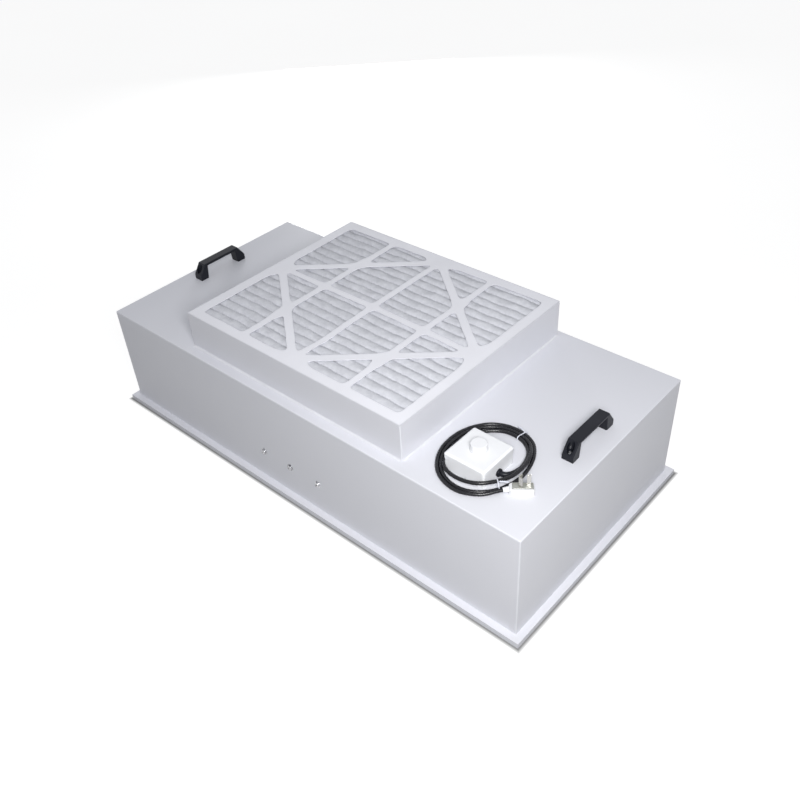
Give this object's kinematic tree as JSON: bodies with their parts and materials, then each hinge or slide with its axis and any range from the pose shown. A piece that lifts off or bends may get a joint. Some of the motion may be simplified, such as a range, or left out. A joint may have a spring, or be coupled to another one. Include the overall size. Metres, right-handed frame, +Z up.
{
  "type": "fan filter unit",
  "caption": "Long low steel ceiling box with a raised pre-filter inlet, an inner fan over a final filter, lifting handles, and a dial speed box with its cord coiled round it.",
  "frame": {"origin": "middle of the footprint, on the plane of the flange's underside", "axes": "+X along the long side towards the speed box, +Y along the short side away from the mains cord's plug, +Z up, against the air flow"},
  "size_m": [1.175, 0.577, 0.343],
  "materials": {
    "painted_steel": "semi-gloss powder coat",
    "bright_steel": "bright zinc plate",
    "galvanised_steel": "galvanised",
    "sealant": "cured sealant",
    "card": "white coated card",
    "prefilter_fibre": "white polyester fibre",
    "impeller_metal": "mill finish",
    "motor_paint": "black dip paint",
    "motor_casting": "die-cast",
    "lamination": "stacked steel sheet",
    "copper_wire": "lacquered copper",
    "bearing_steel": "ground",
    "capacitor_can": "moulded",
    "foam": "open-cell foam",
    "gasket_foam": "closed-cell sponge",
    "filter_extrusion": "anodised",
    "filter_paper": "glass-fibre paper",
    "black_plastic": "moulded nylon",
    "white_plastic": "moulded",
    "grey_plastic": "translucent moulding",
    "cord_rubber": "smooth jacket",
    "tie_plastic": "wire tie",
    "pin_metal": "nickel plated"
  },
  "bodies": {
    "housing": {"bell_rivets": "bright_steel", "bridge_screws": "bright_steel", "cabinet": "painted_steel", "capacitor_nut": "bright_steel", "ceiling_flange": "painted_steel", "claw_bolts": "bright_steel", "collar_rivets": "bright_steel", "collar_sealant": "sealant", "control_base": "white_plastic", "control_lid": "white_plastic", "control_screws": "bright_steel", "cord_coil": "cord_rubber", "cord_gland": "black_plastic", "cord_lead": "cord_rubber", "cord_tail": "cord_rubber", "cord_ties": "tie_plastic", "face_guard": "painted_steel", "filter_claws": "bright_steel", "filter_frame_back": "filter_extrusion", "filter_frame_front": "filter_extrusion", "filter_frame_left": "filter_extrusion", "filter_frame_right": "filter_extrusion", "filter_gasket": "gasket_foam", "filter_media": "filter_paper", "foam_back": "foam", "foam_front": "foam", "foam_left": "foam", "foam_right": "foam", "handle_left": "black_plastic", "handle_right": "black_plastic", "handle_screws": "bright_steel", "inlet_bell": "galvanised_steel", "inlet_collar": "painted_steel", "module_nut": "bright_steel", "motor_base": "motor_casting", "motor_bearings": "bearing_steel", "motor_bridge": "galvanised_steel", "motor_screws": "bright_steel", "plug_body": "white_plastic", "plug_insert": "grey_plastic", "plug_pins": "pin_metal", "prefilter_frame": "card", "prefilter_ledge": "galvanised_steel", "prefilter_media": "prefilter_fibre", "run_capacitor": "capacitor_can", "seal_ledge": "painted_steel", "speed_module": "black_plastic", "stator_core": "lamination", "stator_windings": "copper_wire"},
    "rotor": {"impeller": "impeller_metal", "impeller_screws": "bright_steel", "rotor_can": "motor_paint", "rotor_shaft": "bearing_steel"},
    "knob": {"speed_knob": "white_plastic", "knob_spindle": "bright_steel"}
  },
  "joints": [
    {"name": "impeller_spin", "type": "hinge", "parent": "housing", "child": "rotor", "pos_m": [-0.008, 0.005, 0.15], "axis": [0, 0, 1], "continuous": true},
    {"name": "knob_turn", "type": "hinge", "parent": "housing", "child": "knob", "pos_m": [0.408, -0.1695, 0.3], "axis": [0, 0, 1], "range_deg": [-270, 0]}
  ]
}
